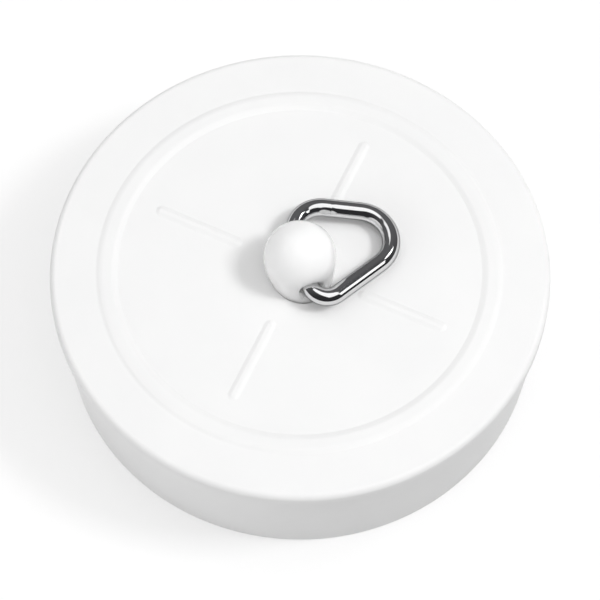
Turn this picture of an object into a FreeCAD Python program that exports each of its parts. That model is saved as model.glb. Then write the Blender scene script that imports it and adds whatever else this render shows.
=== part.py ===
import FreeCAD, Part
import math
import os
import Sketcher
from FreeCAD import Placement, Rotation, Vector

# Driving dimensions in millimetres, angles in degrees
SIZES = {
    "rim_diameter": 70.0,
    "body_height": 18.7,
    "lip_height": 2.0,
    "lip_step": 0.35,
    "rim_round": 0.9,
    "seat_low_diameter": 66.6,
    "wall_thickness": 3.6,
    "plate_thickness": 4.0,
    "foot_round": 0.6,
    "cup_round": 2.5,
    "boss_diameter": 15.0,
    "boss_depth": 4.5,
    "bead_margin": 6.4,
    "bead_width": 3.15,
    "bead_height": 0.35,
    "rib_inner_reach": 8.8,
    "rib_bead_gap": 2.95,
    "rib_width": 2.0,
    "rib_height": 0.28,
    "rib_round": 0.22,
    "rib_turn": 49.6,
    "ball_diameter": 10.2,
    "parting_step": 0.03,
    "ball_centre_height": 3.5,
    "foot_width": 9.2,
    "foot_stretch": 2.0,
    "stem_diameter": 5.0,
    "barb_diameter": 8.0,
    "barb_tip_diameter": 4.0,
    "barb_height": 2.4,
    "wire_diameter": 2.5,
    "eye_clearance": 0.5,
    "eye_height": 2.65,
    "eye_offset": 0.31,
    "mouth_start": 4.3,
    "mouth_round": 0.8,
    "mouth_turn": 290.0,
    "ring_base": 17.1,
    "ring_height": 20.61,
    "ring_apex_shift": 1.2,
    "ring_near_bend": 2.35,
    "ring_far_bend": 3.92,
    "ring_apex_bend": 4.64,
    "ring_slide": 0.6,
    "ring_rest_gap": 0.2,
}
RIB_COUNT = 4
FOOT_SECTIONS = 4
# How far a solid reaches into the one it is joined to
OVERLAP = 0.5
# The easing of the eye's mouths: how flat its arc is, how far it opens, and how deep in the bore it starts
MOUTH_FLATNESS = 1.05
MOUTH_OPENING = 0.5
THROAT_SHARE = 0.9


class Size:
    """A number together with the formula that ties it to the sheet."""

    def __init__(self, value, formula):
        self.value = value
        self.formula = formula

    def __add__(self, other):
        other = as_size(other)
        return Size(self.value + other.value, f"({self.formula} + {other.formula})")

    def __sub__(self, other):
        other = as_size(other)
        return Size(self.value - other.value, f"({self.formula} - {other.formula})")

    def __mul__(self, other):
        other = as_size(other)
        return Size(self.value * other.value, f"({self.formula} * {other.formula})")

    def __truediv__(self, other):
        other = as_size(other)
        return Size(self.value / other.value, f"({self.formula} / {other.formula})")

    def __neg__(self):
        return Size(-self.value, f"(0 - {self.formula})")


def as_size(number):
    return number if isinstance(number, Size) else Size(number, repr(float(number)))


def hypotenuse(across, along):
    square = across * across + along * along
    return Size(math.sqrt(square.value), f"sqrt({square.formula})")


doc = FreeCAD.newDocument("drain_stopper")
sheet = doc.addObject("Spreadsheet::Sheet", "sizes")
for row, (name, value) in enumerate(SIZES.items(), start=1):
    sheet.set(f"A{row}", name)
    sheet.set(f"B{row}", str(value))
    sheet.setAlias(f"B{row}", name)
doc.recompute()


def size(name):
    return Size(SIZES[name], f"sizes.{name}")


def bind(item, prop, amount):
    item.setExpression(prop, as_size(amount).formula)


def origin_plane(body, role):
    return next(feature for feature in body.Origin.OriginFeatures if feature.Role == role)


def new_sketch(body, name, role, height=None):
    """A sketch on one of the body's own planes, lifted along the plane's normal where a height is given."""
    sketch = body.newObject("Sketcher::SketchObject", name)
    sketch.AttachmentSupport = [(origin_plane(body, role), "")]
    sketch.MapMode = "FlatFace"
    if height is not None:
        bind(sketch, "AttachmentOffset.Base.z", height)
    return sketch


def pin_point(sketch, edge, end, point, name):
    """Ties one end of an edge to its place, measured from the sketch's origin."""
    for kind, amount in zip(("DistanceX", "DistanceY"), point):
        index = sketch.addConstraint(Sketcher.Constraint(kind, -1, 1, edge, end, amount.value))
        sketch.renameConstraint(index, f"{name}_{kind[-1].lower()}")
        bind(sketch, f"Constraints.{name}_{kind[-1].lower()}", amount)


def arc_middle(start, stop, radius):
    """The middle of the arc that turns left from start to stop. With no radius it is half a circle."""
    chord = stop - start
    half = chord.Length / 2
    radius = half if radius is None else radius.value
    rise = radius - math.sqrt(max(radius * radius - half * half, 0))
    outward = Vector(chord.y, -chord.x, 0).normalize()
    return (start + stop) * 0.5 + outward * rise


def draw_outline(sketch, points, bends=None):
    """A closed outline through the points. A bend makes the stretch after that point an arc that turns left.

    Each bend is the arc's radius, or None for a round end, which leaves the line before it without a corner.
    """
    bends = bends or {}
    points = [tuple(as_size(amount) for amount in point) for point in points]
    flat = [Vector(point[0].value, point[1].value, 0) for point in points]
    count = len(points)
    for index in range(count):
        start, stop = flat[index], flat[(index + 1) % count]
        if index in bends:
            sketch.addGeometry(Part.Arc(start, arc_middle(start, stop, bends[index]), stop), False)
        else:
            sketch.addGeometry(Part.LineSegment(start, stop), False)
    for index in range(count):
        following = (index + 1) % count
        round_end = following in bends and bends[following] is None
        joint = "Tangent" if round_end else "Coincident"
        sketch.addConstraint(Sketcher.Constraint(joint, index, 2, following, 1))
        pin_point(sketch, index, 1, points[index], f"corner_{index}")
        if bends.get(index) is not None:
            radius = bends[index]
            row = sketch.addConstraint(Sketcher.Constraint("Radius", index, radius.value))
            sketch.renameConstraint(row, f"bend_{index}")
            bind(sketch, f"Constraints.bend_{index}", radius)


def draw_circle(sketch, diameter):
    sketch.addGeometry(Part.Circle(Vector(0, 0, 0), Vector(0, 0, 1), diameter.value / 2), False)
    sketch.addConstraint(Sketcher.Constraint("Coincident", 0, 3, -1, 1))
    row = sketch.addConstraint(Sketcher.Constraint("Diameter", 0, diameter.value))
    sketch.renameConstraint(row, "across")
    bind(sketch, "Constraints.across", diameter)


def revolve(body, kind, name, sketch, axis):
    feature = body.newObject(kind, name)
    feature.Profile = sketch
    feature.ReferenceAxis = (sketch, [axis])
    feature.Angle = 360
    return feature


def rings_at(shape, radius, height):
    """Names of the round edges about the axis with this radius at this height."""
    found = []
    for number, edge in enumerate(shape.Edges, start=1):
        curve = edge.Curve
        if not isinstance(curve, Part.Circle):
            continue
        if abs(curve.Radius - radius) < 1e-4 and abs(curve.Center.z - height) < 1e-4:
            found.append(f"Edge{number}")
    return found


def edges_on_level(shape, height):
    """Names of the edges that lie wholly at this height."""
    found = []
    for number, edge in enumerate(shape.Edges, start=1):
        box = edge.BoundBox
        if abs(box.ZMin - height) < 1e-4 and abs(box.ZMax - height) < 1e-4:
            found.append(f"Edge{number}")
    return found


def round_edges(body, name, names, radius):
    doc.recompute()
    base = body.Tip
    feature = body.newObject("PartDesign::Fillet", name)
    feature.Base = (base, names)
    bind(feature, "Radius", radius)
    doc.recompute()
    return feature


half_rim = size("rim_diameter") / 2
height = size("body_height")
plate_under = height - size("plate_thickness")
boss_under = plate_under - size("boss_depth")
foot_outer = size("seat_low_diameter") / 2
foot_inner = foot_outer - size("wall_thickness")
lip_under = height - size("lip_height")
cone_top = half_rim - size("lip_step")
cup_top = cone_top - size("wall_thickness")
half_bead = size("bead_width") / 2
bead_middle = half_rim - size("bead_margin") - half_bead
rib_outer_reach = bead_middle - half_bead - size("rib_bead_gap")


def make_plug_body():
    """The moulded cup: lipped rim, tapered seat, hollow underside with a boss, bead and ribs on top."""
    body = doc.addObject("PartDesign::Body", "plug_body")
    section = new_sketch(body, "plug_section", "XZ_Plane")
    boss_radius = size("boss_diameter") / 2
    draw_outline(section, [
        (0, height), (0, boss_under), (boss_radius, boss_under), (boss_radius, plate_under),
        (cup_top, plate_under), (foot_inner, 0), (foot_outer, 0), (cone_top, lip_under),
        (half_rim, lip_under), (half_rim, height)])
    shell = revolve(body, "PartDesign::Revolution", "plug_shell", section, "V_Axis")
    doc.recompute()

    round_edges(body, "rim_rounding", rings_at(shell.Shape, half_rim.value, height.value), size("rim_round"))
    foot = rings_at(body.Tip.Shape, foot_outer.value, 0) + rings_at(body.Tip.Shape, foot_inner.value, 0)
    round_edges(body, "foot_rounding", foot, size("foot_round"))
    corner = rings_at(body.Tip.Shape, cup_top.value, plate_under.value)
    round_edges(body, "cup_rounding", corner, size("cup_round"))

    bead = new_sketch(body, "bead_section", "XZ_Plane")
    bead_rise = size("bead_height")
    bead_radius = (half_bead * half_bead + bead_rise * bead_rise) / (bead_rise * 2)
    bead_base = height - OVERLAP
    draw_outline(bead, [
        (bead_middle - half_bead, bead_base), (bead_middle + half_bead, bead_base),
        (bead_middle + half_bead, height), (bead_middle - half_bead, height)],
        {2: bead_radius})
    revolve(body, "PartDesign::Revolution", "bead", bead, "V_Axis")
    doc.recompute()

    rib = new_sketch(body, "rib_outline", "XY_Plane", height - OVERLAP)
    bind(rib, "AttachmentOffset.Rotation.Angle", size("rib_turn"))
    half_rib = size("rib_width") / 2
    near = size("rib_inner_reach") + half_rib
    far = rib_outer_reach - half_rib
    draw_outline(rib, [(near, -half_rib), (far, -half_rib), (far, half_rib), (near, half_rib)],
                 {1: None, 3: None})
    pad = body.newObject("PartDesign::Pad", "rib")
    pad.Profile = rib
    bind(pad, "Length", size("rib_height") + OVERLAP)
    doc.recompute()
    cross = body.newObject("PartDesign::PolarPattern", "rib_cross")
    cross.Originals = [pad]
    cross.Axis = (rib, ["N_Axis"])
    cross.Angle = 360
    cross.Occurrences = RIB_COUNT
    body.Tip = cross
    doc.recompute()
    rib_top = (height + size("rib_height")).value
    round_edges(body, "rib_rounding", edges_on_level(cross.Shape, rib_top), size("rib_round"))

    hole = new_sketch(body, "stem_hole_outline", "XY_Plane")
    draw_circle(hole, size("stem_diameter"))
    pocket = body.newObject("PartDesign::Pocket", "stem_hole")
    pocket.Profile = hole
    pocket.Type = "ThroughAll"
    pocket.Reversed = True
    doc.recompute()
    return body


# The wire's triangle: base through the eye, then round by the long arm, the apex and the short arm
half_base = size("ring_base") / 2
reach = size("ring_height")
shift = size("ring_apex_shift")
slide = size("ring_slide")
near_bend = size("ring_near_bend")
far_bend = size("ring_far_bend")
apex_bend = size("ring_apex_bend")
long_run = half_base + shift
short_run = half_base - shift
long_arm = hypotenuse(reach, long_run)
short_arm = hypotenuse(reach, short_run)
long_normal = (-(long_run / long_arm), reach / long_arm)
short_normal = (-(short_run / short_arm), -(reach / short_arm))
low_straight = slide - half_base + near_bend * (long_arm + long_run) / reach
high_straight = slide + half_base - far_bend * (short_arm + short_run) / reach
apex_centre_x = reach - apex_bend * (long_arm + short_arm) / (half_base * 2)
apex_centre_y = slide + shift + (apex_bend * long_arm + long_run * (apex_centre_x - reach)) / reach
apex_reach = apex_centre_x + apex_bend
half_wire = size("wire_diameter") / 2
eye_radius = half_wire + size("eye_clearance")
rest_drop = size("eye_height") - half_wire - size("ring_rest_gap")


def step_off(centre, normal, radius):
    return centre[0] - normal[0] * radius, centre[1] - normal[1] * radius


def make_pull_ring():
    """One length of bright wire bent to a round-cornered triangle and closed at a butt joint."""
    body = doc.addObject("PartDesign::Body", "pull_ring")
    path = new_sketch(body, "ring_path", "XY_Plane")
    low_centre = (near_bend, low_straight)
    high_centre = (far_bend, high_straight)
    apex_centre = (apex_centre_x, apex_centre_y)
    points = [
        (as_size(0), high_straight), (as_size(0), low_straight),
        step_off(low_centre, long_normal, near_bend), step_off(apex_centre, long_normal, apex_bend),
        step_off(apex_centre, short_normal, apex_bend), step_off(high_centre, short_normal, far_bend)]
    draw_outline(path, points, {1: near_bend, 3: apex_bend, 5: far_bend})
    wire = new_sketch(body, "wire_section", "XZ_Plane")
    draw_circle(wire, size("wire_diameter"))
    doc.recompute()
    pipe = body.newObject("PartDesign::AdditivePipe", "bent_wire")
    pipe.Profile = wire
    pipe.Spine = (path, [f"Edge{number}" for number in range(1, len(points) + 1)])
    doc.recompute()
    body.Placement = Placement(Vector(0, 0, 0), Rotation(Vector(0, 1, 0), 1))
    bind(body, "Placement.Base.x", size("eye_offset"))
    bind(body, "Placement.Base.z", height + size("eye_height"))
    lean = rest_drop / apex_reach
    body.setExpression("Placement.Rotation.Angle", f"asin({lean.formula})")
    doc.recompute()
    return body


def make_pull_knob():
    """The ball on its drawn-out foot, with the cross eye for the wire and a barbed stem below."""
    ball_radius = size("ball_diameter") / 2
    shoulder = ball_radius + size("parting_step")
    foot_half = size("foot_width") / 2
    foot_long = foot_half + size("foot_stretch") / 2
    sections = []
    for step in range(FOOT_SECTIONS):
        share = step / (FOOT_SECTIONS - 1)
        swell = math.sin(math.pi / 2 * share)
        ellipse = doc.addObject("Part::Ellipse", f"foot_section_{step}")
        bind(ellipse, "MajorRadius", foot_long + (shoulder - foot_long) * swell)
        bind(ellipse, "MinorRadius", foot_half + (shoulder - foot_half) * swell)
        ellipse.Placement = Placement(Vector(0, 0, 0), Rotation(Vector(0, 0, 1), 90))
        bind(ellipse, "Placement.Base.z", size("ball_centre_height") * share)
        sections.append(ellipse)
    doc.recompute()
    foot = doc.addObject("Part::Loft", "knob_foot")
    foot.Sections = sections
    foot.Solid = True
    dome = doc.addObject("Part::Sphere", "knob_dome")
    bind(dome, "Radius", ball_radius)
    dome.Angle1 = 0
    bind(dome, "Placement.Base.z", size("ball_centre_height"))
    stem = doc.addObject("Part::Cylinder", "knob_stem")
    bind(stem, "Radius", size("stem_diameter") / 2)
    stem_length = size("plate_thickness") + size("boss_depth")
    bind(stem, "Height", stem_length + OVERLAP)
    bind(stem, "Placement.Base.z", -stem_length)
    barb = doc.addObject("Part::Cone", "stem_barb")
    bind(barb, "Radius1", size("barb_tip_diameter") / 2)
    bind(barb, "Radius2", size("barb_diameter") / 2)
    bind(barb, "Height", size("barb_height"))
    bind(barb, "Placement.Base.z", -(stem_length + size("barb_height")))
    core = doc.addObject("Part::MultiFuse", "knob_core")
    core.Shapes = [foot, dome, stem, barb]
    doc.recompute()

    body = doc.addObject("PartDesign::Body", "pull_knob")
    body.BaseFeature = core
    doc.recompute()
    outside = foot_long + OVERLAP
    axis_height = size("eye_height")
    bore = new_sketch(body, "bore_section", "YZ_Plane", size("eye_offset"))
    draw_outline(bore, [
        (-outside, axis_height), (outside, axis_height),
        (outside, axis_height + eye_radius), (-outside, axis_height + eye_radius)])
    revolve(body, "PartDesign::Groove", "eye_bore", bore, "Edge1")
    doc.recompute()

    # Each mouth is eased where the wire's bends swing, over the top and down to both sides
    mouth_start = size("mouth_start")
    mouth_round = size("mouth_round")
    mouth_edge = mouth_start + mouth_round
    mouth_top = axis_height + eye_radius + mouth_round * MOUTH_OPENING
    throat = axis_height + eye_radius * THROAT_SHARE
    mouths = new_sketch(body, "mouth_section", "YZ_Plane", size("eye_offset"))
    mouth_arc = mouth_round * MOUTH_FLATNESS
    draw_outline(mouths, [
        (outside, axis_height), (-outside, axis_height), (-outside, mouth_top), (-mouth_edge, mouth_top),
        (-mouth_start, throat), (mouth_start, throat), (mouth_edge, mouth_top), (outside, mouth_top)],
        {3: mouth_arc, 5: mouth_arc})
    easing = revolve(body, "PartDesign::Groove", "eye_mouths", mouths, "Edge1")
    easing.Midplane = True
    bind(easing, "Angle", size("mouth_turn"))
    doc.recompute()
    bind(body, "Placement.Base.z", height)
    doc.recompute()
    return body


pieces = [make_plug_body(), make_pull_knob(), make_pull_ring()]
doc.recompute()

for item in doc.Objects:
    if "Invalid" in item.State or "Error" in item.State:
        raise RuntimeError(f"{item.Name} did not build: {item.State}")

os.makedirs("parts", exist_ok=True)
for piece in pieces:
    shape = piece.Shape
    if shape.isNull() or not shape.isValid() or len(shape.Solids) != 1:
        raise RuntimeError(f"{piece.Label} is not one sound solid")
    print(piece.Label, "volume", round(shape.Volume, 1), "box", shape.BoundBox)
    shape.exportStep(f"parts/{piece.Label}.step")
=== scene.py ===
import math

import bmesh
import bpy
from mathutils import Matrix, Vector


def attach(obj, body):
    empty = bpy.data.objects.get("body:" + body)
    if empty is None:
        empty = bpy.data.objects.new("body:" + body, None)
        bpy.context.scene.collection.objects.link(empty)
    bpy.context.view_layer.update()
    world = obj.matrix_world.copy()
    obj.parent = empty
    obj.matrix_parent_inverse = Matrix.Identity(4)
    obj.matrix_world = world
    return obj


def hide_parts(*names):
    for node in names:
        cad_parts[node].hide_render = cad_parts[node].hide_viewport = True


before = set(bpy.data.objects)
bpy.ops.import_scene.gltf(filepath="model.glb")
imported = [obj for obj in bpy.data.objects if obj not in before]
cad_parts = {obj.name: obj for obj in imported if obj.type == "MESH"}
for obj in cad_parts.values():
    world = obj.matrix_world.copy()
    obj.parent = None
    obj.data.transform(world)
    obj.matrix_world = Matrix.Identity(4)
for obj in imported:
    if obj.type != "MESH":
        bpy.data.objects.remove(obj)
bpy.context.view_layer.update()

MM = 0.001
# Points that lie closer than this are one point, and so are the ends of the wire
WELD = 1e-7
WIRE_WELD = 20 * WELD

# Plug: heights are measured from its foot, radii from its axis
RIM_RADIUS = 35.0 * MM
PLATE_TOP = 18.7 * MM
PLATE_THICKNESS = 4.0 * MM
LIP_HEIGHT = 2.0 * MM
LIP_STEP = 0.35 * MM
FOOT_RADIUS = 33.3 * MM
WALL = 3.6 * MM
BOSS_RADIUS = 7.5 * MM
BOSS_DEPTH = 4.5 * MM
LIP_UNDER = PLATE_TOP - LIP_HEIGHT
CUP_FLOOR = PLATE_TOP - PLATE_THICKNESS
BOSS_UNDER = CUP_FLOOR - BOSS_DEPTH
RIM_ROUND = 0.9 * MM
LIP_ROUND = 0.12 * MM
LIP_FILLET = 0.1 * MM
FOOT_ROUND = 0.6 * MM
CUP_FILLET = 2.5 * MM
BOSS_FILLET = 0.8 * MM
BOSS_ROUND = 0.4 * MM
TURN_STEPS = 256

# Bead round the plate, and ribs in a cross inside it
BEAD_RADIUS = 27.025 * MM
BEAD_HALF = 1.575 * MM
BEAD_RISE = 0.3 * MM
BEAD_INNER_SLOPE = 0.8 * MM
BEAD_OUTER_SLOPE = 0.7 * MM
BEAD_FILLET = 0.4 * MM
BEAD_INNER_ROUND = 1.2 * MM
BEAD_OUTER_ROUND = 2.0 * MM
RIB_COUNT = 4
RIB_TURN = math.radians(49.6)
RIB_NEAR = 8.8 * MM
RIB_FAR = 22.5 * MM
RIB_HALF = 1.0 * MM
RIB_RISE = 0.22 * MM
RIB_FLANK = 0.85 * MM
RIB_FLANK_STEPS = 8
RIB_SUNK = 0.01 * MM
RIB_SEGMENTS = 48

# Marks that the mould's ejector pins leave under the plate
EJECTOR_COUNT = 4
EJECTOR_REACH = 20.0 * MM
EJECTOR_RADIUS = 2.2 * MM
EJECTOR_RISE = 0.08 * MM
EJECTOR_SEGMENTS = 40

# Knob: the ball's height is measured from the plate
BALL_RADIUS = 5.1 * MM
BALL_HEIGHT = 3.5 * MM
BALL_MIDDLE = PLATE_TOP + BALL_HEIGHT
FOOT_HALF_X = 4.6 * MM
FOOT_HALF_Y = 5.6 * MM
STEM_RADIUS = 2.5 * MM
BARB_RADIUS = 4.0 * MM
BARB_TIP = 2.0 * MM
BARB_HEIGHT = 2.4 * MM
BARB_UNDER = BOSS_UNDER - BARB_HEIGHT
DOME_STEPS = 40
FOOT_STEPS = 16
KNOB_STEPS = 160

# Eye through the knob along Y, with a rounded mouth at each end
EYE_RISE = 2.65 * MM
EYE_HEIGHT = PLATE_TOP + EYE_RISE
EYE_OFFSET = 0.31 * MM
EYE_RADIUS = 1.75 * MM
EYE_STEPS = 72
THROAT_RADIUS = 1.575 * MM
MOUTH_START = 4.3 * MM
MOUTH_BEND = 0.84 * MM
MOUTH_SWEEP = math.radians(71.6)
MOUTH_STEPS = 10
MOUTH_TURN = math.radians(290.0)
CUTTER_REACH = 8.0 * MM

# Wire ring, drawn flat with its base along Y through the eye
WIRE_RADIUS = 1.25 * MM
WIRE_SEGMENTS = 48
RING_HALF_BASE = 8.55 * MM
RING_HEIGHT = 20.61 * MM
RING_SHIFT = 1.2 * MM
RING_SLIDE = 0.6 * MM
NEAR_BEND = 2.35 * MM
FAR_BEND = 3.92 * MM
TIP_BEND = 4.64 * MM
BEND_STEPS = 32
ARM_CUTS = 6
REST_GAP = 0.2 * MM

# Butt joint of the wire: its share of the way up the far arm, and its groove
JOINT_SHARE = 0.30
JOINT_GROOVE = 0.04 * MM
JOINT_DEPTH = 0.004

# The ring leans from the eye down to the plate, by how far its tip reaches
long_arm = math.hypot(RING_HEIGHT, RING_HALF_BASE + RING_SHIFT)
short_arm = math.hypot(RING_HEIGHT, RING_HALF_BASE - RING_SHIFT)
tip_reach = RING_HEIGHT - TIP_BEND * (long_arm + short_arm) / (2 * RING_HALF_BASE) + TIP_BEND
ring_lean = math.asin((EYE_RISE - WIRE_RADIUS - REST_GAP) / tip_reach)

# Stage, in metres: the floor's grey as it is seen, and as it throws light back at the left and right
FLOOR_REACH = 3.0
FLOOR_SEEN = 1.0
FLOOR_LEFT = 0.68
FLOOR_RIGHT = 0.25
# The share of the floor that shows plain white, which makes the shadow on it faint
FLOOR_GLOW = 0.6
TENT_RADIUS = 1.8
TENT_FOOT = 0.01
TENT_FRONT = (0.03, 0.03, 0.032, 1.0)
TENT_BACK = (0.12, 0.12, 0.124, 1.0)
WORLD_GREY = 0.42

# Level lamps: name, place from the plate's middle, turn in degrees, length, width and power
LEVEL_LAMPS = (
    ("ceiling_box", (0.243, -0.185, 1.2), -63.0, 1.15, 0.80, 3.3),
    ("back_box", (-0.32, 0.66, 1.2), 0.0, 0.68, 0.68, 1.4),
    ("front_strip", (0.708, -0.463, 0.6), -47.3, 0.72, 0.16, 0.5),
    ("side_strip", (0.54, 0.06, 0.6), 10.0, 0.26, 0.14, 0.5))
# Lamps aimed at the plate: name, direction, distance, side and power
AIMED_LAMPS = (
    ("key_lamp", (0.602, -0.226, 0.766), 1.4, 0.32, 8.0),
    ("left_card", (-0.9, -0.32, 0.3), 1.2, 0.9, 3.2))

# Camera, aimed a little in front of the plate's middle
CAMERA_AZIMUTH = math.radians(-15.4)
CAMERA_ELEVATION = math.radians(62.8)
CAMERA_DISTANCE = 450.0 * MM
CAMERA_LENS = 193.3
CAMERA_SENSOR = 36.0
CAMERA_NEAR = 10.0 * MM
AIM_FORWARD = 4.95 * MM
plate_middle = Vector((0, 0, PLATE_TOP))


# Helpers for shapes


def strip_of(points):
    """A bmesh that holds one open chain of edges."""
    bm = bmesh.new()
    verts = [bm.verts.new(point) for point in points]
    for first, second in zip(verts, verts[1:]):
        bm.edges.new((first, second))
    return bm, verts


def round_corner(bm, vert, radius, segments):
    """Rounds one corner of a chain to a radius."""
    ways = [(edge.other_vert(vert).co - vert.co).normalized() for edge in vert.link_edges]
    half_angle = ways[0].angle(ways[1]) / 2
    bmesh.ops.bevel(
        bm, geom=[vert], offset=radius / math.tan(half_angle), offset_type="OFFSET",
        segments=segments, profile=0.5, affect="VERTICES", material=-1)


def swing(bm, geom, centre, axis, angle, steps):
    """Carries geometry part of the way round an axis and returns where it ends."""
    return bmesh.ops.spin(
        bm, geom=geom, cent=centre, axis=axis, dvec=(0, 0, 0), angle=angle, steps=steps,
        use_merge=False, use_normal_flip=False, use_duplicate=False)["geom_last"]


def turn_round(bm, axis=(0, 0, 1), centre=(0, 0, 0), steps=TURN_STEPS):
    """Spins everything in the bmesh into a full turned shape."""
    bmesh.ops.spin(
        bm, geom=bm.verts[:] + bm.edges[:], cent=centre, axis=axis, dvec=(0, 0, 0), angle=math.tau,
        steps=steps, use_merge=True, use_normal_flip=False, use_duplicate=False)


def step_inwards(bm, faces, width, rise):
    """Insets faces by a width and raises what is left of them."""
    bmesh.ops.inset_region(
        bm, faces=faces, thickness=width, depth=0.0, use_boundary=True, use_even_offset=True)
    corners = list({vert for face in faces for vert in face.verts})
    bmesh.ops.translate(bm, verts=corners, vec=(0, 0, rise))


def make_object(name, bm):
    """Welds the bmesh, turns its normals outward and puts it in the scene as an object."""
    bmesh.ops.remove_doubles(bm, verts=bm.verts, dist=WELD)
    bmesh.ops.recalc_face_normals(bm, faces=bm.faces)
    for face in bm.faces:
        face.smooth = True
    mesh = bpy.data.meshes.new(name)
    bm.to_mesh(mesh)
    bm.free()
    item = bpy.data.objects.new(name, mesh)
    bpy.context.scene.collection.objects.link(item)
    return item


def cut(item, cutter):
    """Cuts one piece's shape out of another and throws the cutter away."""
    tool = item.modifiers.new("cut", "BOOLEAN")
    tool.operation = "DIFFERENCE"
    tool.solver = "EXACT"
    tool.object = cutter
    graph = bpy.context.evaluated_depsgraph_get()
    mesh = bpy.data.meshes.new_from_object(item.evaluated_get(graph))
    item.modifiers.remove(tool)
    old = item.data
    item.data = mesh
    bpy.data.meshes.remove(old)
    bpy.data.objects.remove(cutter)


def finish_piece(item, material, body, crease=None):
    """Gives a piece its material, its body and even shading, sharp past a crease in degrees."""
    if crease is not None:
        item.data.set_sharp_from_angle(angle=math.radians(crease))
    shading = item.modifiers.new("even_shading", "WEIGHTED_NORMAL")
    shading.keep_sharp = crease is not None
    item.data.materials.clear()
    item.data.materials.append(material)
    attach(item, body)
    return item


# Helpers for materials

# Places of the colour sockets on a Mix node
MIX_FIRST = 6
MIX_SECOND = 7
MIX_RESULT = 2


def grey(level):
    """A plain grey colour."""
    return (level, level, level, 1.0)


def feed(tree, source, socket):
    """Links a socket to another one, or sets it to a plain value."""
    if isinstance(source, bpy.types.NodeSocket):
        tree.links.new(source, socket)
    else:
        socket.default_value = source


def new_material(name):
    """A new material with its node tree and its Principled shader."""
    material = bpy.data.materials.new(name)
    material.use_nodes = True
    tree = material.node_tree
    return material, tree, tree.nodes["Principled BSDF"]


def object_place(tree):
    """Where a point lies in its object."""
    return tree.nodes.new("ShaderNodeTexCoord").outputs["Object"]


def place_along(tree, axis):
    """How far a point lies along one axis of its object."""
    apart = tree.nodes.new("ShaderNodeSeparateXYZ")
    tree.links.new(object_place(tree), apart.inputs["Vector"])
    return apart.outputs[axis]


def noise(tree, vector, scale, detail, roughness=0.5):
    """A noise texture, its scale a number or a socket."""
    node = tree.nodes.new("ShaderNodeTexNoise")
    for label, source in (("Vector", vector), ("Scale", scale), ("Detail", detail), ("Roughness", roughness)):
        feed(tree, source, node.inputs[label])
    return node.outputs["Fac"]


def spread(tree, value, low, high, out_low, out_high):
    """Maps a value from one range to another."""
    node = tree.nodes.new("ShaderNodeMapRange")
    for label, source in (
            ("Value", value), ("From Min", low), ("From Max", high),
            ("To Min", out_low), ("To Max", out_high)):
        feed(tree, source, node.inputs[label])
    return node.outputs["Result"]


def tint(tree, value, first, second):
    """Mixes two colours by a value."""
    node = tree.nodes.new("ShaderNodeMix")
    node.data_type = "RGBA"
    feed(tree, value, node.inputs["Factor"])
    feed(tree, first, node.inputs[MIX_FIRST])
    feed(tree, second, node.inputs[MIX_SECOND])
    return node.outputs[MIX_RESULT]


def roughen(tree, shader, height, strength, depth):
    """Gives a shader a fine relief from a height."""
    bump = tree.nodes.new("ShaderNodeBump")
    for label, source in (("Height", height), ("Strength", strength), ("Distance", depth)):
        feed(tree, source, bump.inputs[label])
    tree.links.new(bump.outputs["Normal"], shader.inputs["Normal"])


# Materials

SKIN_SCALES = ("Cloud Scale", "Sheen Scale", "Texture Scale")
SKIN_EFFECTS = ("Cloud", "Sheen", "Texture")


def moulded_skin():
    """Faint clouding, uneven sheen and fine texture of moulded white plastic."""
    group = bpy.data.node_groups.new("moulded_skin", "ShaderNodeTree")
    for label in SKIN_SCALES:
        group.interface.new_socket(label, in_out="INPUT", socket_type="NodeSocketFloat")
    for label in SKIN_EFFECTS:
        group.interface.new_socket(label, in_out="OUTPUT", socket_type="NodeSocketFloat")
    given = group.nodes.new("NodeGroupInput").outputs
    out = group.nodes.new("NodeGroupOutput").inputs
    place = object_place(group)
    cloud = noise(group, place, given["Cloud Scale"], detail=4.0)
    sheen = noise(group, place, given["Sheen Scale"], detail=5.0, roughness=0.6)
    fine = noise(group, place, given["Texture Scale"], detail=3.0, roughness=0.55)
    group.links.new(spread(group, cloud, 0.3, 0.7, 0.0, 1.0), out["Cloud"])
    group.links.new(spread(group, sheen, 0.3, 0.7, 0.0, 1.0), out["Sheen"])
    group.links.new(fine, out["Texture"])
    return group


def plastic(name, skin_group, scales, tones, roughness, grain, gloss, glow):
    """White moulded plastic with its own range of tones and roughness, its gloss and its inner glow."""
    material, tree, shader = new_material(name)
    skin = tree.nodes.new("ShaderNodeGroup")
    skin.node_tree = skin_group
    for label, scale in zip(SKIN_SCALES, scales):
        skin.inputs[label].default_value = scale
    tree.links.new(tint(tree, skin.outputs["Cloud"], *tones), shader.inputs["Base Color"])
    tree.links.new(spread(tree, skin.outputs["Sheen"], 0.0, 1.0, *roughness), shader.inputs["Roughness"])
    roughen(tree, shader, skin.outputs["Texture"], strength=grain, depth=0.02 * MM)
    shader.inputs["IOR"].default_value = 1.5
    shader.inputs["Specular IOR Level"].default_value = gloss
    shader.inputs["Subsurface Weight"].default_value = glow
    shader.inputs["Subsurface Radius"].default_value = (1.0, 1.0, 1.0)
    shader.inputs["Subsurface Scale"].default_value = 3.0 * MM
    return material


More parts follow.
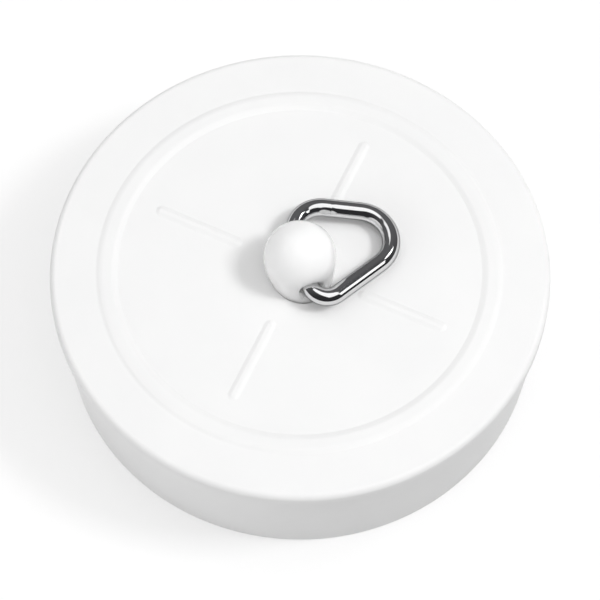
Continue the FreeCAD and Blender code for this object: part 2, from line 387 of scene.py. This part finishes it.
def polished_wire(name):
    """Bright plated wire with fine lines left along it by drawing, and small dull patches."""
    material, tree, shader = new_material(name)
    place = object_place(tree)
    level = tree.nodes.new("ShaderNodeMapping")
    level.inputs["Rotation"].default_value = (0.0, -ring_lean, 0.0)
    level.inputs["Scale"].default_value = (1.0, 1.0, 90.0)
    tree.links.new(place, level.inputs["Vector"])
    lines = noise(tree, level.outputs["Vector"], scale=90.0, detail=3.0)
    patches = noise(tree, place, scale=400.0, detail=4.0, roughness=0.6)
    plating = tint(tree, patches, (0.75, 0.75, 0.755, 1.0), (0.8, 0.8, 0.805, 1.0))
    tree.links.new(plating, shader.inputs["Base Color"])
    tree.links.new(spread(tree, lines, 0.35, 0.65, 0.04, 0.09), shader.inputs["Roughness"])
    roughen(tree, shader, lines, strength=0.06, depth=0.01 * MM)
    shader.inputs["Metallic"].default_value = 1.0
    shader.inputs["Specular Tint"].default_value = (0.05, 0.05, 0.052, 1.0)
    return material


plastic_skin = moulded_skin()
white_moulding = plastic(
    "white_moulding", plastic_skin, scales=(90.0, 260.0, 2600.0),
    tones=(grey(0.88), (0.90, 0.90, 0.898, 1.0)), roughness=(0.46, 0.38), grain=0.25, gloss=0.5, glow=0.0)
white_gloss = plastic(
    "white_gloss", plastic_skin, scales=(220.0, 500.0, 1800.0),
    tones=(grey(0.92), grey(0.935)), roughness=(0.09, 0.05), grain=0.03, gloss=0.3, glow=1.0)
bright_wire = polished_wire("bright_wire")


# Plug


def make_plug():
    """The moulded cup, turned from one section with its corners rounded."""
    bead_inner = BEAD_RADIUS - BEAD_HALF
    bead_outer = BEAD_RADIUS + BEAD_HALF
    bead_top = PLATE_TOP + BEAD_RISE
    seat_top = RIM_RADIUS - LIP_STEP
    # Each corner's radius and height, and the radius and segments of its rounding
    corners = (
        (STEM_RADIUS, PLATE_TOP, 0.0, 0),
        (bead_inner, PLATE_TOP, BEAD_FILLET, 4),
        (bead_inner + BEAD_INNER_SLOPE, bead_top, BEAD_INNER_ROUND, 6),
        (bead_outer - BEAD_OUTER_SLOPE, bead_top, BEAD_OUTER_ROUND, 8),
        (bead_outer, PLATE_TOP, 0.0, 0),
        (RIM_RADIUS, PLATE_TOP, RIM_ROUND, 10),
        (RIM_RADIUS, LIP_UNDER, LIP_ROUND, 3),
        (seat_top, LIP_UNDER, LIP_FILLET, 3),
        (FOOT_RADIUS, 0.0, FOOT_ROUND, 6),
        (FOOT_RADIUS - WALL, 0.0, FOOT_ROUND, 6),
        (seat_top - WALL, CUP_FLOOR, CUP_FILLET, 10),
        (BOSS_RADIUS, CUP_FLOOR, BOSS_FILLET, 6),
        (BOSS_RADIUS, BOSS_UNDER, BOSS_ROUND, 4),
        (STEM_RADIUS, BOSS_UNDER, 0.0, 0))
    bm, verts = strip_of([(radius, 0.0, height) for radius, height, _, _ in corners])
    bm.edges.new((verts[-1], verts[0]))
    for vert, (_, _, radius, segments) in zip(verts, corners):
        if radius:
            round_corner(bm, vert, radius, segments)
    turn_round(bm)
    return make_object("plug_moulding", bm)


def make_rib(bm, turn):
    """One low rib with round ends and soft flanks, its skirt sunk in the plate."""
    others = set(bm.verts)
    half_segment = Matrix.Rotation(math.pi / RIB_SEGMENTS, 4, "Z")
    outline = bmesh.ops.create_circle(
        bm, cap_ends=True, radius=RIB_HALF, segments=RIB_SEGMENTS, matrix=half_segment)["verts"]
    far_side = [vert for vert in outline if vert.co.x > 0]
    bmesh.ops.translate(bm, verts=far_side, vec=(RIB_FAR - RIB_NEAR - 2 * RIB_HALF, 0, 0))
    bmesh.ops.translate(bm, verts=outline, vec=(RIB_NEAR + RIB_HALF, 0, PLATE_TOP - RIB_SUNK))
    cap = [face for face in bm.faces if set(face.verts) == set(outline)]
    turns = [math.pi * step / RIB_FLANK_STEPS for step in range(RIB_FLANK_STEPS + 1)]
    for low, high in zip(turns, turns[1:]):
        rise = RIB_RISE * (math.cos(low) - math.cos(high)) / 2
        step_inwards(bm, cap, RIB_FLANK / RIB_FLANK_STEPS, rise)
    made = [vert for vert in bm.verts if vert not in others]
    bmesh.ops.rotate(bm, verts=made, cent=(0, 0, 0), matrix=Matrix.Rotation(turn, 3, "Z"))


def make_ribs():
    """Four ribs in a cross."""
    bm = bmesh.new()
    for index in range(RIB_COUNT):
        make_rib(bm, RIB_TURN + index * math.tau / RIB_COUNT)
    return make_object("top_ribs", bm)


def make_ejector_marks():
    """Round marks under the plate, each a shallow disc with its middle a little hollow."""
    bm = bmesh.new()
    for index in range(EJECTOR_COUNT):
        turn = RIB_TURN + (index + 0.5) * math.tau / EJECTOR_COUNT
        place = Matrix.Rotation(turn, 4, "Z") @ Matrix.Translation((EJECTOR_REACH, 0, CUP_FLOOR))
        disc = bmesh.ops.create_circle(
            bm, cap_ends=True, radius=EJECTOR_RADIUS, segments=EJECTOR_SEGMENTS, matrix=place)["verts"]
        cap = list(disc[0].link_faces)
        for rise in (-EJECTOR_RISE, EJECTOR_RISE / 2):
            step_inwards(bm, cap, EJECTOR_RISE, rise)
    return make_object("ejector_marks", bm)


# Knob


def make_eye_cutter():
    """The bore that runs through the knob from side to side."""
    bm, _ = strip_of([
        (EYE_OFFSET, -CUTTER_REACH, EYE_HEIGHT), (EYE_OFFSET, -CUTTER_REACH, EYE_HEIGHT + EYE_RADIUS),
        (EYE_OFFSET, CUTTER_REACH, EYE_HEIGHT + EYE_RADIUS), (EYE_OFFSET, CUTTER_REACH, EYE_HEIGHT)])
    turn_round(bm, axis=(0, 1, 0), centre=(EYE_OFFSET, 0, EYE_HEIGHT), steps=EYE_STEPS)
    return make_object("eye_cutter", bm)


def make_mouth_cutter(side):
    """The rounded mouth at one end of the bore, open over the top and both flanks."""
    throat = EYE_HEIGHT + THROAT_RADIUS
    bm, verts = strip_of([(EYE_OFFSET, MOUTH_START, EYE_HEIGHT), (EYE_OFFSET, MOUTH_START, throat)])
    bend_centre = (EYE_OFFSET, MOUTH_START, throat + MOUTH_BEND)
    lip = swing(bm, [verts[1]], bend_centre, (1, 0, 0), MOUTH_SWEEP, MOUTH_STEPS)
    edge = next(item for item in lip if isinstance(item, bmesh.types.BMVert))
    outer = bm.verts.new((EYE_OFFSET, CUTTER_REACH, edge.co.z))
    inner = bm.verts.new((EYE_OFFSET, CUTTER_REACH, EYE_HEIGHT))
    for first, second in ((edge, outer), (outer, inner), (inner, verts[0])):
        bm.edges.new((first, second))
    bmesh.ops.contextual_create(bm, geom=bm.edges[:])
    centre = (EYE_OFFSET, 0, EYE_HEIGHT)
    start = Matrix.Rotation(-MOUTH_TURN / 2, 3, "Y")
    bmesh.ops.rotate(bm, verts=bm.verts, cent=centre, matrix=start)
    swing(bm, bm.verts[:] + bm.edges[:] + bm.faces[:], centre, (0, 1, 0), MOUTH_TURN, EYE_STEPS)
    bmesh.ops.scale(bm, verts=bm.verts, vec=(1, side, 1))
    return make_object("mouth_cutter", bm)


def knob_half_width(drop, foot_half):
    """Half the knob's width, a share of the way from the ball's middle down to its foot."""
    return foot_half + (BALL_RADIUS - foot_half) * math.cos(drop * math.pi / 2)


def make_knob():
    """The ball on its oval foot, with the stem and barb that hold it in the plug."""
    bm, verts = strip_of([(BALL_RADIUS, 0.0, BALL_MIDDLE)])
    for item in swing(bm, [verts[0]], (0, 0, BALL_MIDDLE), (0, 1, 0), -math.pi / 2, DOME_STEPS):
        if isinstance(item, bmesh.types.BMVert):
            item.co.x = 0.0
    drops = [step / FOOT_STEPS for step in range(1, FOOT_STEPS + 1)]
    section = [(knob_half_width(drop, FOOT_HALF_X), BALL_MIDDLE - BALL_HEIGHT * drop) for drop in drops]
    section += [
        (STEM_RADIUS, PLATE_TOP), (STEM_RADIUS, BOSS_UNDER), (BARB_RADIUS, BOSS_UNDER),
        (BARB_TIP, BARB_UNDER), (0.0, BARB_UNDER)]
    last = verts[0]
    for radius, height in section:
        new = bm.verts.new((radius, 0.0, height))
        bm.edges.new((last, new))
        last = new
    turn_round(bm, steps=KNOB_STEPS)
    bmesh.ops.remove_doubles(bm, verts=bm.verts, dist=WELD)
    for vert in bm.verts:
        drop = (BALL_MIDDLE - vert.co.z) / BALL_HEIGHT
        if 0 < drop < 1 + WELD and vert.co.xy.length > STEM_RADIUS + WELD:
            drop = min(drop, 1.0)
            vert.co.y *= knob_half_width(drop, FOOT_HALF_Y) / knob_half_width(drop, FOOT_HALF_X)
    knob = make_object("pull_knob_ball", bm)
    cut(knob, make_eye_cutter())
    for side in (1, -1):
        cut(knob, make_mouth_cutter(side))
    return knob


# Ring


def run_to(bm, edges, here, there, cuts):
    """Carries a section straight on to a point."""
    for _ in range(cuts):
        made = bmesh.ops.extrude_edge_only(bm, edges=edges)["geom"]
        verts = [item for item in made if isinstance(item, bmesh.types.BMVert)]
        bmesh.ops.translate(bm, verts=verts, vec=(there - here) / cuts)
        edges = [item for item in made if isinstance(item, bmesh.types.BMEdge)
                 and all(vert in verts for vert in item.verts)]
    return edges, there


def make_ring():
    """The bent wire: one round section carried round the triangle from butt joint to butt joint."""
    far_corner = Vector((0.0, RING_HALF_BASE + RING_SLIDE, 0.0))
    near_corner = Vector((0.0, -RING_HALF_BASE + RING_SLIDE, 0.0))
    tip = Vector((RING_HEIGHT, RING_SHIFT + RING_SLIDE, 0.0))
    joint = far_corner.lerp(tip, JOINT_SHARE)
    along = (far_corner - joint).normalized()
    bm = bmesh.new()
    bmesh.ops.create_circle(
        bm, cap_ends=False, radius=WIRE_RADIUS, segments=WIRE_SEGMENTS,
        matrix=Matrix.Translation(joint) @ along.to_track_quat("Z", "X").to_matrix().to_4x4())
    edges, here = run_to(bm, bm.edges[:], joint, joint + along * JOINT_GROOVE, 1)
    for corner, bend, onward in (
            (far_corner, FAR_BEND, near_corner), (near_corner, NEAR_BEND, tip), (tip, TIP_BEND, joint)):
        arriving = (corner - here).normalized()
        leaving = (onward - corner).normalized()
        turn = arriving.angle(leaving)
        reach = bend * math.tan(turn / 2)
        edges, here = run_to(bm, edges, here, corner - arriving * reach, ARM_CUTS)
        way = arriving.cross(leaving).normalized()
        verts = list({vert for edge in edges for vert in edge.verts})
        made = swing(bm, verts + edges, here + way.cross(arriving) * bend, way, turn, BEND_STEPS)
        edges = [item for item in made if isinstance(item, bmesh.types.BMEdge)]
        here = corner + leaving * reach
    edges, here = run_to(bm, edges, here, joint - along * JOINT_GROOVE, ARM_CUTS)
    run_to(bm, edges, here, joint, 1)
    bmesh.ops.remove_doubles(bm, verts=bm.verts, dist=WIRE_WELD)
    groove = [vert for vert in bm.verts if abs((vert.co - joint).dot(along)) < WELD
              and (vert.co - joint).length < 2 * WIRE_RADIUS]
    shrink = 1 - JOINT_DEPTH
    bmesh.ops.scale(bm, verts=groove, vec=(shrink, shrink, shrink), space=Matrix.Translation(-joint))
    bmesh.ops.rotate(bm, verts=bm.verts, cent=(0, 0, 0), matrix=Matrix.Rotation(ring_lean, 3, "Y"))
    bmesh.ops.translate(bm, verts=bm.verts, vec=(EYE_OFFSET, 0, EYE_HEIGHT))
    return make_object("wire_ring", bm)


# Pieces on their bodies

plug = finish_piece(make_plug(), white_moulding, "plug", crease=28)
finish_piece(make_ribs(), white_moulding, "plug")
knob = finish_piece(make_knob(), white_gloss, "plug", crease=35)
ring = finish_piece(make_ring(), bright_wire, "ring")
finish_piece(make_ejector_marks(), white_moulding, "plug")
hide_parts("plug_body")
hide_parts("pull_knob")
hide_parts("pull_ring")


# Stage


def rays_that_show(tree):
    """1 for a ray that comes from the camera, or from it by way of metal or glass."""
    rays = tree.nodes.new("ShaderNodeLightPath").outputs
    shown = rays["Is Camera Ray"]
    for label in ("Is Glossy Ray", "Is Transmission Ray"):
        either = tree.nodes.new("ShaderNodeMath")
        either.operation = "MAXIMUM"
        tree.links.new(shown, either.inputs[0])
        tree.links.new(rays[label], either.inputs[1])
        shown = either.outputs[0]
    return shown


def make_floor():
    """A pale floor that looks white, takes a faint shadow and throws less light back to the right."""
    bm = bmesh.new()
    bmesh.ops.create_grid(bm, x_segments=1, y_segments=1, size=FLOOR_REACH)
    item = make_object("floor", bm)
    material, tree, shader = new_material("floor")
    shown = rays_that_show(tree)
    side = spread(tree, place_along(tree, "X"), -RIM_RADIUS, RIM_RADIUS, 0.0, 1.0)
    thrown_back = tint(tree, side, grey(FLOOR_LEFT), grey(FLOOR_RIGHT))
    tree.links.new(tint(tree, shown, thrown_back, grey(FLOOR_SEEN)), shader.inputs["Base Color"])
    shader.inputs["Roughness"].default_value = 1.0
    shader.inputs["Specular IOR Level"].default_value = 0.0
    glow = tree.nodes.new("ShaderNodeEmission")
    blend = tree.nodes.new("ShaderNodeMixShader")
    tree.links.new(spread(tree, shown, 0.0, 1.0, 0.0, FLOOR_GLOW), blend.inputs["Fac"])
    tree.links.new(shader.outputs["BSDF"], blend.inputs[1])
    tree.links.new(glow.outputs["Emission"], blend.inputs[2])
    tree.links.new(blend.outputs["Shader"], tree.nodes["Material Output"].inputs["Surface"])
    item.data.materials.append(material)


def make_dark_tent():
    """A dark shell round the set, darker towards the camera, that only polished surfaces show."""
    bm = bmesh.new()
    bmesh.ops.create_icosphere(bm, subdivisions=4, radius=TENT_RADIUS)
    bmesh.ops.bisect_plane(
        bm, geom=bm.verts[:] + bm.edges[:] + bm.faces[:], plane_co=(0, 0, TENT_FOOT), plane_no=(0, 0, 1),
        clear_inner=True)
    item = make_object("dark_tent", bm)
    material, tree, shader = new_material("dark_tent")
    tree.nodes.remove(shader)
    depth = spread(tree, place_along(tree, "Y"), -TENT_RADIUS / 2, TENT_RADIUS / 2, 0.0, 1.0)
    glow = tree.nodes.new("ShaderNodeEmission")
    tree.links.new(tint(tree, depth, TENT_FRONT, TENT_BACK), glow.inputs["Color"])
    tree.links.new(glow.outputs["Emission"], tree.nodes["Material Output"].inputs["Surface"])
    item.data.materials.append(material)
    item.visible_camera = False
    item.visible_diffuse = False
    item.visible_shadow = False
    item.visible_transmission = False


def hang_lamp(name, place, turn, length, width, power):
    """A flat lamp at a place in the scene, turned from facing down."""
    lamp = bpy.data.lights.new(name, "AREA")
    lamp.shape = "RECTANGLE"
    lamp.size = length
    lamp.size_y = width
    lamp.energy = power
    item = bpy.data.objects.new(name, lamp)
    item.location = place
    item.rotation_euler = turn
    bpy.context.scene.collection.objects.link(item)
    return item


def set_world():
    """An even grey light from all sides."""
    world = bpy.data.worlds.new("studio")
    bpy.context.scene.world = world
    world.use_nodes = True
    world.node_tree.nodes["Background"].inputs["Color"].default_value = grey(WORLD_GREY)


def set_camera():
    """The camera at the photograph's angle."""
    back = Vector((
        math.sin(CAMERA_AZIMUTH) * math.cos(CAMERA_ELEVATION),
        -math.cos(CAMERA_AZIMUTH) * math.cos(CAMERA_ELEVATION),
        math.sin(CAMERA_ELEVATION)))
    aim = plate_middle + Vector((back.x, back.y, 0)).normalized() * AIM_FORWARD
    data = bpy.data.cameras.new("camera")
    data.lens = CAMERA_LENS
    data.sensor_width = CAMERA_SENSOR
    data.clip_start = CAMERA_NEAR
    camera = bpy.data.objects.new("camera", data)
    camera.location = plate_middle + back * CAMERA_DISTANCE
    camera.rotation_euler = (camera.location - aim).to_track_quat("Z", "Y").to_euler()
    bpy.context.scene.collection.objects.link(camera)
    bpy.context.scene.camera = camera


make_floor()
make_dark_tent()
for name, place, turn, length, width, power in LEVEL_LAMPS:
    hang_lamp(name, plate_middle + Vector(place), (0, 0, math.radians(turn)), length, width, power)
for name, direction, distance, side, power in AIMED_LAMPS:
    way = Vector(direction).normalized()
    aimed = way.to_track_quat("Z", "Y").to_euler()
    lamp = hang_lamp(name, plate_middle + way * distance, aimed, side, side, power)
    # Polished wire shows the strips instead of these
    lamp.visible_glossy = False
set_world()
set_camera()
bpy.context.scene.view_settings.view_transform = "Standard"
